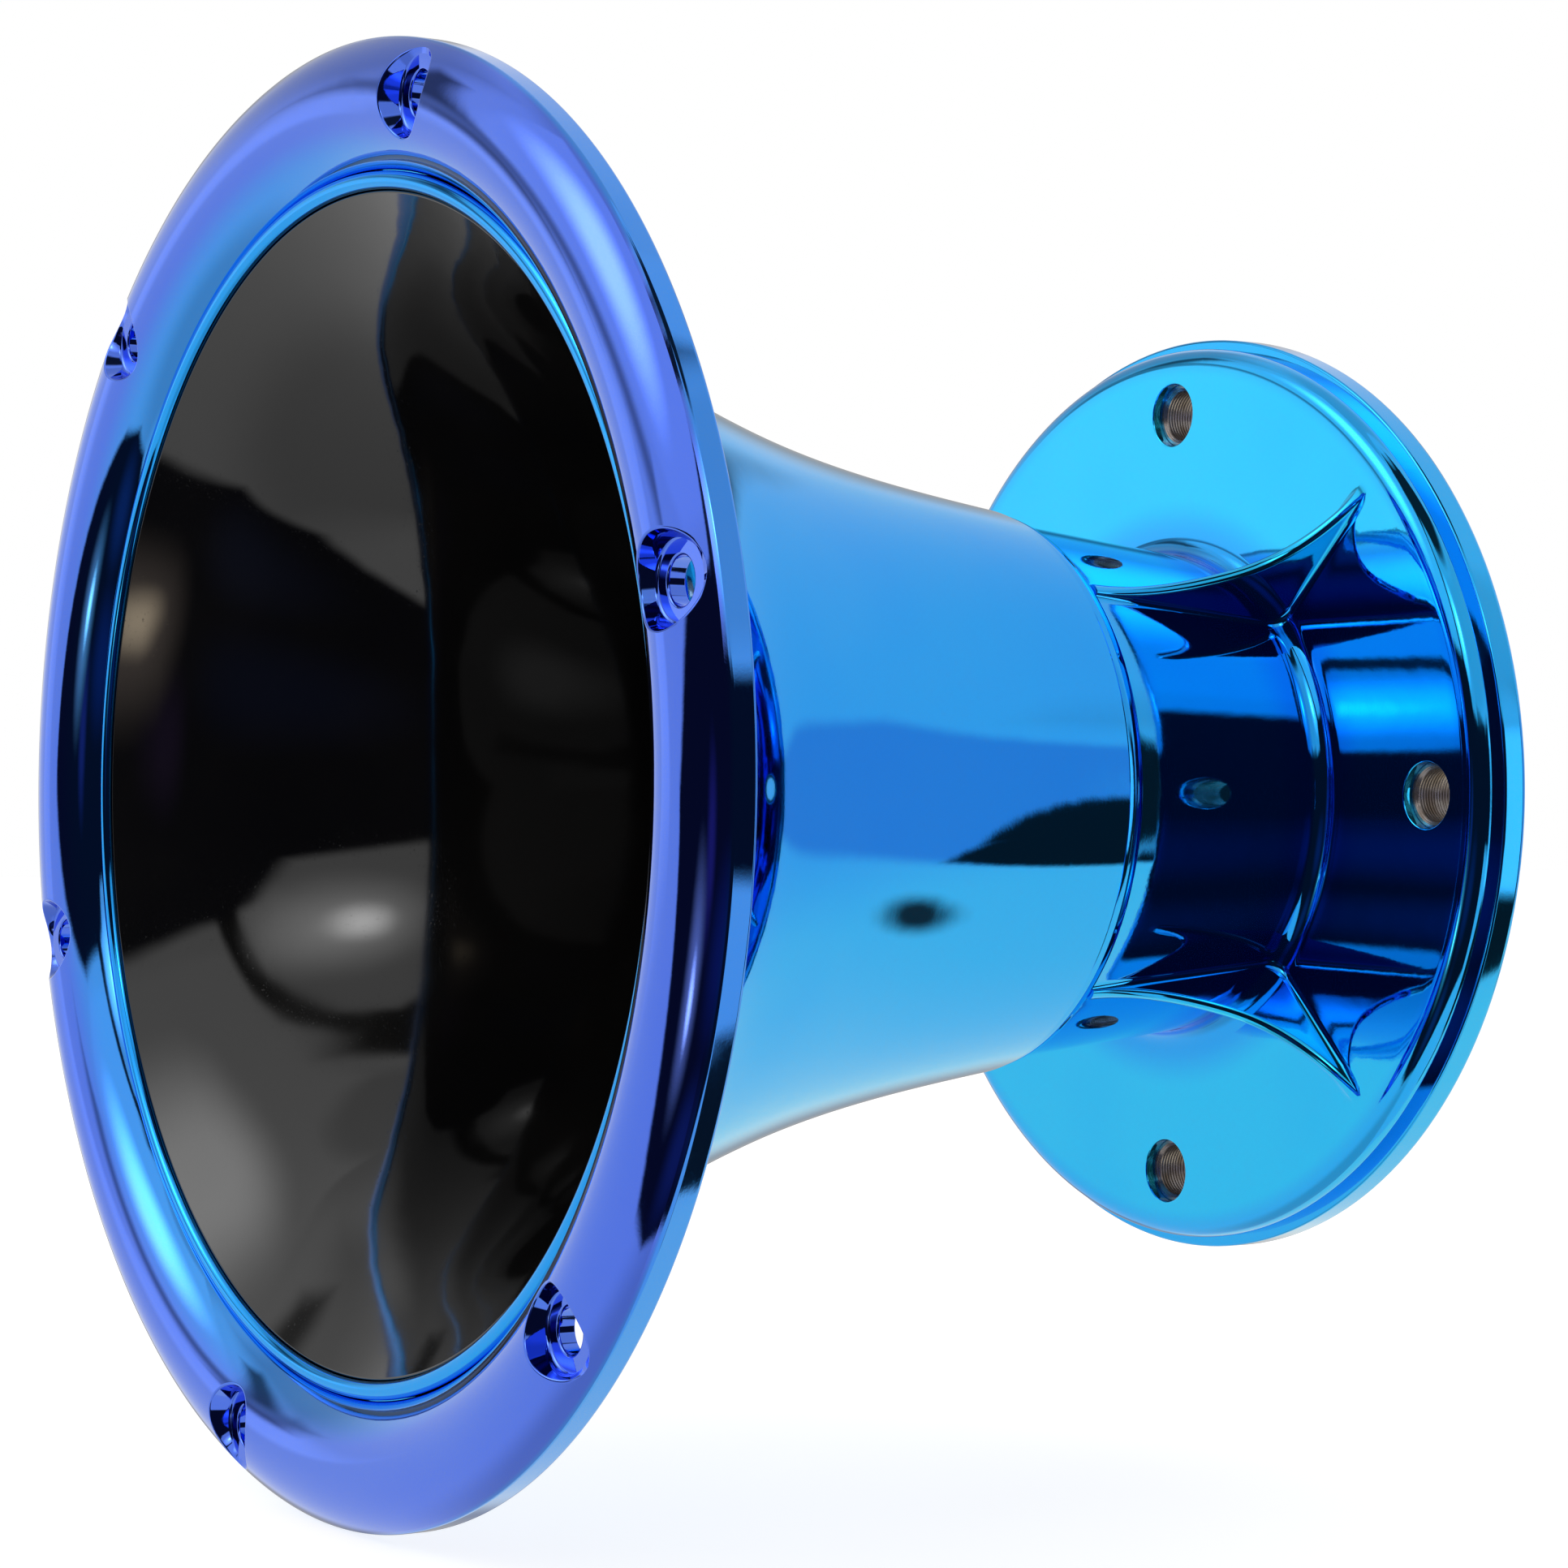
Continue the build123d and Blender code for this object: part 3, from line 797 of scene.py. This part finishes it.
# ---- camera: level with the horn's axis, about 51 degrees round from straight in front of the mouth ----
CAMERA_PLACE = Vector((0.4200, -0.3424, 0.0))
CAMERA_YAW = math.radians(56.97)
CAMERA_FOV = math.radians(22.31)
CAMERA_ROLL = math.radians(0.54)
CAMERA_SHIFT_Y = 0.0033

camera_data = bpy.data.cameras.new("camera")
camera_data.angle = CAMERA_FOV
camera_data.shift_y = CAMERA_SHIFT_Y
camera_data.clip_start = 0.01
camera = bpy.data.objects.new("camera", camera_data)
bpy.context.scene.collection.objects.link(camera)
turn = Matrix.Rotation(CAMERA_YAW, 4, "Z") @ Matrix.Rotation(math.radians(90), 4, "X")
camera.matrix_world = Matrix.Translation(CAMERA_PLACE) @ turn @ Matrix.Rotation(CAMERA_ROLL, 4, "Z")
bpy.context.scene.camera = camera
bpy.context.scene.view_settings.view_transform = "Standard"


# ---- node helpers ----
class Nodes:
    """Short calls that add nodes to a tree and return their output."""

    def __init__(self, tree):
        self.tree = tree

    def add(self, kind, **settings):
        node = self.tree.nodes.new(kind)
        for key, value in settings.items():
            setattr(node, key, value)
        return node

    def feed(self, node, values):
        for key, value in values.items():
            if isinstance(value, bpy.types.NodeSocket):
                self.tree.links.new(value, node.inputs[key])
            else:
                node.inputs[key].default_value = value
        return node

    def math(self, operation, a, b=0.0, c=0.0):
        node = self.add("ShaderNodeMath", operation=operation)
        return self.feed(node, {0: a, 1: b, 2: c}).outputs[0]

    def step(self, value, low, high, to_low=0.0, to_high=1.0):
        """value from low to high, smoothly turned into to_low to to_high."""
        node = self.add("ShaderNodeMapRange", interpolation_type="SMOOTHSTEP")
        self.feed(node, {"Value": value, "From Min": low, "From Max": high})
        return self.feed(node, {"To Min": to_low, "To Max": to_high}).outputs["Result"]

    def mix(self, factor, a, b):
        node = self.add("ShaderNodeMix", data_type="RGBA")
        return self.feed(node, {"Factor": factor, "A": a, "B": b}).outputs["Result"]

    def noise(self, vector, scale, detail=2.0, roughness=0.5):
        node = self.add("ShaderNodeTexNoise")
        self.feed(node, {"Vector": vector, "Scale": scale, "Detail": detail, "Roughness": roughness})
        return node.outputs["Fac"]

    def bump(self, strength, distance, height, onto=None):
        """The normal bent by a height, over another bump's normal if one is given."""
        node = self.add("ShaderNodeBump")
        self.feed(node, {"Strength": strength, "Distance": distance, "Height": height})
        if onto is not None:
            self.feed(node, {"Normal": onto})
        return node.outputs["Normal"]

    def object_place(self):
        return self.add("ShaderNodeTexCoord").outputs["Object"]

    def length(self, a, b):
        """Length of a flat vector from its two parts."""
        return self.math("SQRT", self.math("ADD", self.math("MULTIPLY", a, a), self.math("MULTIPLY", b, b)))

    def radius(self, place):
        """Distance from the horn's axis."""
        x, _, z = self.split(place)
        return self.length(x, z)

    def split(self, vector):
        node = self.feed(self.add("ShaderNodeSeparateXYZ"), {"Vector": vector})
        return node.outputs[0], node.outputs[1], node.outputs[2]


def new_material(name):
    material = bpy.data.materials.new(name)
    material.use_nodes = True
    return material, Nodes(material.node_tree), material.node_tree.nodes["Principled BSDF"]


# ---- materials ----
def plated(name, tints_and_painted_light, sheen=(0.75, 0.85, 1.0)):
    """Lacquered metallised plastic: a mirror with a faint orange peel, bluer and hazier in places.

    tints_and_painted_light lists (distance from the horn's axis in metres, colour), blended smoothly between;
    the changes of colour with that distance are painted reflection over the plating's own blue.
    """
    material, nodes, shader = new_material(name)
    place = nodes.object_place()
    cloud = nodes.noise(place, 24, 3)
    ripple = nodes.noise(place, 260, 1)
    grain = nodes.noise(place, 2600, 2, 0.6)
    away = nodes.radius(place)
    # the plating's own blue, with the changes of colour along the distance from the axis painted in as
    # painted reflection
    colour = (*tints_and_painted_light[0][1], 1)
    for (near, _), (far, tint) in zip(tints_and_painted_light, tints_and_painted_light[1:]):
        colour = nodes.mix(nodes.step(away, near, far), colour, (*tint, 1))
    colour = nodes.mix(nodes.step(cloud, 0.4, 0.75, 0.0, 0.08), colour, (0.02, 0.08, 0.9, 1))
    haze = nodes.step(cloud, 0.35, 0.7, 0.025, 0.05)
    dust = nodes.step(grain, 0.5, 0.9, 0.0, 0.05)
    nodes.feed(shader, {
        "Metallic": 1.0,
        "Base Color": colour,
        "Specular Tint": (*sheen, 1),
        "Roughness": nodes.math("ADD", haze, dust),
        "Coat Weight": 1.0,
        "Coat Roughness": 0.015,
        "Coat IOR": 1.24,
    })
    peel = nodes.bump(0.02, 0.0004, ripple)
    fine = nodes.bump(0.02, 0.00005, grain, onto=peel)
    nodes.feed(shader, {"Normal": fine, "Coat Normal": peel})
    return material


def gloss_black(name):
    """Polished black moulding with a faint ripple and a little dust haze."""
    material, nodes, shader = new_material(name)
    place = nodes.object_place()
    cloud = nodes.noise(place, 30, 3)
    speck = nodes.noise(place, 3000, 1)
    colour = nodes.mix(nodes.step(cloud, 0.3, 0.7), (0.0022, 0.0022, 0.0024, 1), (0.0045, 0.0042, 0.004, 1))
    haze = nodes.step(cloud, 0.35, 0.75, 0.04, 0.09)
    dust = nodes.step(speck, 0.62, 0.8, 0.0, 0.12)
    nodes.feed(shader, {
        "Base Color": colour,
        "Roughness": nodes.math("ADD", haze, dust),
        "Specular IOR Level": 0.5,
        "IOR": 1.6,
        "Normal": nodes.bump(0.05, 0.0004, nodes.noise(place, 120, 1)),
    })
    return material


RING_SPACING = 0.00018  # of the turning marks, in metres


def turned_metal(name):
    """Dull turned steel, with fine rings along Y and brown-grey staining."""
    material, nodes, shader = new_material(name)
    place = nodes.object_place()
    _, y, _ = nodes.split(place)
    stain = nodes.noise(place, 450, 4)
    rings = nodes.math("SINE", nodes.math("MULTIPLY", y, 2 * math.pi / RING_SPACING))
    colour = nodes.mix(nodes.step(stain, 0.35, 0.75), (0.32, 0.29, 0.28, 1), (0.16, 0.12, 0.09, 1))
    nodes.feed(shader, {
        "Metallic": 0.85,
        "Base Color": colour,
        "Roughness": nodes.step(stain, 0.3, 0.7, 0.2, 0.36),
        "Normal": nodes.bump(0.25, 0.00002, rings),
    })
    return material


def foam(name):
    """Closed-cell foam: matt charcoal with fine open pores, their pits painted darker as painted shade."""
    material, nodes, shader = new_material(name)
    place = nodes.object_place()
    cells = nodes.add("ShaderNodeTexVoronoi")
    nodes.feed(cells, {"Vector": place, "Scale": 1700.0})
    pore = nodes.step(cells.outputs["Distance"], 0.0, 0.55)
    # the pits of the pores are painted darker than the foam's face: painted shade
    colour = nodes.mix(pore, (0.008, 0.008, 0.009, 1), (0.035, 0.035, 0.037, 1))
    nodes.feed(shader, {
        "Base Color": colour,
        "Roughness": nodes.step(pore, 0.0, 1.0, 0.95, 0.75),
        "Normal": nodes.bump(0.6, 0.00015, pore),
    })
    return material


MATERIALS = {
    # ring: the plating's own blue, painted cyan at the bore's edge and on the outer side and violet over the
    # crest, a painted reflection of the soft boxes
    "ring_chrome": plated("ring_chrome", [
        (0.0730, (0.05, 0.33, 0.9)), (0.0770, (0.088, 0.2, 0.87)),
        (0.0866, (0.088, 0.19, 0.87)), (0.0870, (0.05, 0.3, 0.92))]),
    "bell_chrome": plated("bell_chrome", [
        (0.030, (0.008, 0.37, 0.97)), (0.090, (0.009, 0.37, 0.95))], sheen=(0.3, 0.8, 1.0)),
    # flange: the face painted brighter cyan than the neck and the rim, a painted highlight over the plating's
    # own blue
    "flange_chrome": plated("flange_chrome", [
        (0.0340, (0.008, 0.38, 0.95)), (0.0400, (0.010, 0.55, 0.97)),
        (0.0555, (0.010, 0.55, 0.97)), (0.0585, (0.012, 0.44, 0.96))]),
    "black_gloss": gloss_black("black_gloss"),
    "sleeve_metal": turned_metal("sleeve_metal"),
    "gasket_foam": foam("gasket_foam"),
}
# the CAD's own pieces, then the ones made here, each in the material of its slot
for node in frame["record"]["subparts"]:
    shown = frame["nodes"][node["node"]]
    shown.data.materials[0] = MATERIALS[node["material_slot"]]
for piece in bpy.context.scene.objects:
    if "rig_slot" in piece:
        piece.data.materials.append(MATERIALS[piece["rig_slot"]])

# ---- studio: soft boxes and dark cards round the horn, by direction ----
# Azimuth is measured from -Y, the way the mouth faces, towards +X; both angles are in degrees.
world = bpy.data.worlds.new("studio")
bpy.context.scene.world = world
world.use_nodes = True
studio = Nodes(world.node_tree)
background = world.node_tree.nodes["Background"]
towards = studio.add("ShaderNodeTexCoord").outputs["Generated"]
east, north, up = studio.split(towards)
DEGREE = 180 / math.pi
azimuth = studio.math("MULTIPLY", studio.math("ARCTAN2", east, studio.math("MULTIPLY", north, -1.0)), DEGREE)
elevation = studio.math("MULTIPLY", studio.math("ARCSINE", up), DEGREE)


def about(azimuth_at, elevation_at):
    """Azimuth and elevation measured from a direction."""
    turn = studio.math("WRAP", studio.math("SUBTRACT", azimuth, azimuth_at), 180.0, -180.0)
    return turn, studio.math("SUBTRACT", elevation, elevation_at)


def shaded(colour, cover, level):
    shade = (level, level, level, 1) if np.isscalar(level) else (*level, 1)
    return studio.mix(cover, colour, shade)


def panel(colour, level, corners, soft):
    """Covers a convex patch of the studio, corners listed counter-clockwise as (azimuth, elevation)."""
    corners = [np.array(c, float) for c in corners]
    middle = np.mean(corners, axis=0)
    turn, rise = about(*middle.tolist())
    place = studio.feed(studio.add("ShaderNodeCombineXYZ"), {0: turn, 1: rise, 2: 1.0}).outputs[0]
    depth = 180.0
    for start, end in zip(corners, corners[1:] + corners[:1]):
        run = unit(end - start)
        inward = np.array((-run[1], run[0]))
        dot = studio.add("ShaderNodeVectorMath", operation="DOT_PRODUCT")
        studio.feed(dot, {0: place, 1: (*inward, -inward.dot(start - middle))})
        depth = studio.math("MINIMUM", depth, dot.outputs["Value"])
    return shaded(colour, studio.step(depth, -soft, soft), level)


def box(left, right, bottom, top):
    return [(left, bottom), (right, bottom), (right, top), (left, top)]


def spot(colour, level, at, half, soft):
    """Covers an oval patch, at and half as (azimuth, elevation)."""
    turn, rise = about(*at)
    away = studio.length(studio.math("DIVIDE", turn, half[0]), studio.math("DIVIDE", rise, half[1]))
    return shaded(colour, studio.step(away, 1 - soft, 1 + soft, 1.0, 0.0), level)


# The cards lie over each other, later ones in front. Their places are chosen so that the
# plating and the liner mirror much the same shapes as in the photo.
light = (0.86, 0.86, 0.86, 1)
# below and behind, brighter and warmer low down
light = panel(light, 0.6, box(-115, 35, -95, -50), 12)
light = panel(light, 0.84, box(150, 250, -15, 60), 10)
light = panel(light, (1.15, 1.08, 0.86), box(142, 250, -95, -15), 8)
# left, with a bright slit
light = panel(light, 0.5, box(-112, -64, 18, 54), 10)
light = panel(light, 0.4, box(-132, -102, -32, 20), 5)
light = panel(light, 1.1, box(-64, -45, -1, 10), 3)
# above, with the big soft box over the mouth
light = panel(light, 0.65, box(-180, 20, 62, 95), 8)
light = panel(light, 0.95, [(-54, 20), (8, 22), (38, 32), (37, 52), (19, 69), (-46, 68)], 2)
light = spot(light, 2.9, (-17, 43), (20, 12), 0.7)
# a dark strip high up, and one that runs down beside the big soft box
light = panel(light, 0.03, [(30, 62), (48, 54), (150, 52), (150, 80), (30, 80)], 4)
light = panel(light, 0.03, box(37.5, 44, 20, 60), 1.5)
# the dark room in front and to the right, and a bright strip in its rear part
light = panel(light, (0.012, 0.012, 0.02), [
    (-25, 0), (-4, -35.5), (12, -49.5), (36, -56.5), (55, -53), (112, -38), (112, 15), (40, 26), (9, 20)
], 1.5)
light = panel(light, (0.012, 0.012, 0.02), box(108, 131, -11.5, 14.5), 2)
light = panel(light, 0.02, [(128, -31.5), (131, -50), (141, -45), (142, -29), (139, -18), (135, -18)], 1.5)
light = panel(light, 0.02, box(137.5, 143.5, -60, 24), 1)
light = panel(light, 1.3, box(131.5, 137, -17, 12), 1.2)
# a pale wall above the dark room, and the soft box before it with its bright core
light = panel(light, 0.7, box(72, 150, 18, 50), 4)
light = panel(light, 0.75, [(44, 32), (54, 17), (74, 16), (77, 40), (62, 58), (50, 60), (43, 54)], 1.5)
light = spot(light, 2.4, (56, 34.5), (9, 8), 0.9)
light = spot(light, 7.0, (58.5, 34.8), (3.2, 3.2), 1.0)
# a grey-blue card behind on the right, with two dark corners
light = panel(light, (0.5, 0.5, 0.7), [
    (144, 12.5), (144, -20.5), (160, -14), (172, -8.5), (180, -4), (178, 2), (173, 8), (165, 12)
], 1.5)
light = panel(light, 0.02, [(144, -7), (144, -20.5), (148, -20), (158, -14.5), (151, -11)], 0.8)
light = panel(light, 0.02, [(143, 1), (143, -12), (153, -12)], 0.8)
# faint gleams in the dark room, and a lamp with its glow
light = spot(light, (0.02, 0.03, 0.09), (50, -20), (14, 9), 0.8)
light = spot(light, (0.03, 0.04, 0.1), (32, -42), (14, 7), 0.8)
light = spot(light, (0.07, 0.04, 0.13), (26, -6), (5, 8), 0.8)
light = spot(light, (0.6, 0.5, 0.45), (13, -18), (8, 9), 0.8)
light = spot(light, (4.0, 3.3, 2.4), (13.5, -19.5), (2.5, 3.2), 1.0)
# thin dark cards on the left, and two small dark things behind
light = panel(light, 0.13, [(-61, 12), (-53, 12), (-59, 40), (-67, 40)], 3)
light = panel(light, 0.35, [(-67, 15), (-23, 11), (-23, 17), (-67, 21)], 3)
light = spot(light, 0.05, (-150, 22.5), (7, 4), 0.6)
light = spot(light, (0.1, 0.05, 0.04), (166, -23.5), (4, 3.5), 0.6)

# the camera itself sees plain white round the floor
is_seen = studio.add("ShaderNodeLightPath").outputs["Is Camera Ray"]
studio.feed(background, {"Color": studio.mix(is_seen, light, (1, 1, 1, 1)), "Strength": 1.0})

# ---- floor: pale, lit to white away from the horn's own soft shadow ----
FLOOR_HALF = 3.0
FLOOR_GAP = 0.0003
depth = cad_low[2] - FLOOR_GAP
floor_mesh = bpy.data.meshes.new("floor")
corners = [(FLOOR_HALF * x, FLOOR_HALF * y, depth) for x, y in ((-1, -1), (1, -1), (1, 1), (-1, 1))]
floor_mesh.from_pydata(corners, [], [(0, 1, 2, 3)])
floor = bpy.data.objects.new("floor", floor_mesh)
bpy.context.scene.collection.objects.link(floor)
floor.visible_glossy = False
floor_material, floor_nodes, floor_shader = new_material("floor_paper")
floor_grain = floor_nodes.noise(floor_nodes.object_place(), 900, 3)
floor_nodes.feed(floor_shader, {
    "Base Color": floor_nodes.mix(floor_grain, (0.38, 0.375, 0.37, 1), (0.42, 0.415, 0.41, 1)),
    "Roughness": 0.9,
    "Specular IOR Level": 0.0,
    "Emission Color": (1, 1, 1, 1),
    "Emission Strength": 0.82,
})
floor_mesh.materials.append(floor_material)
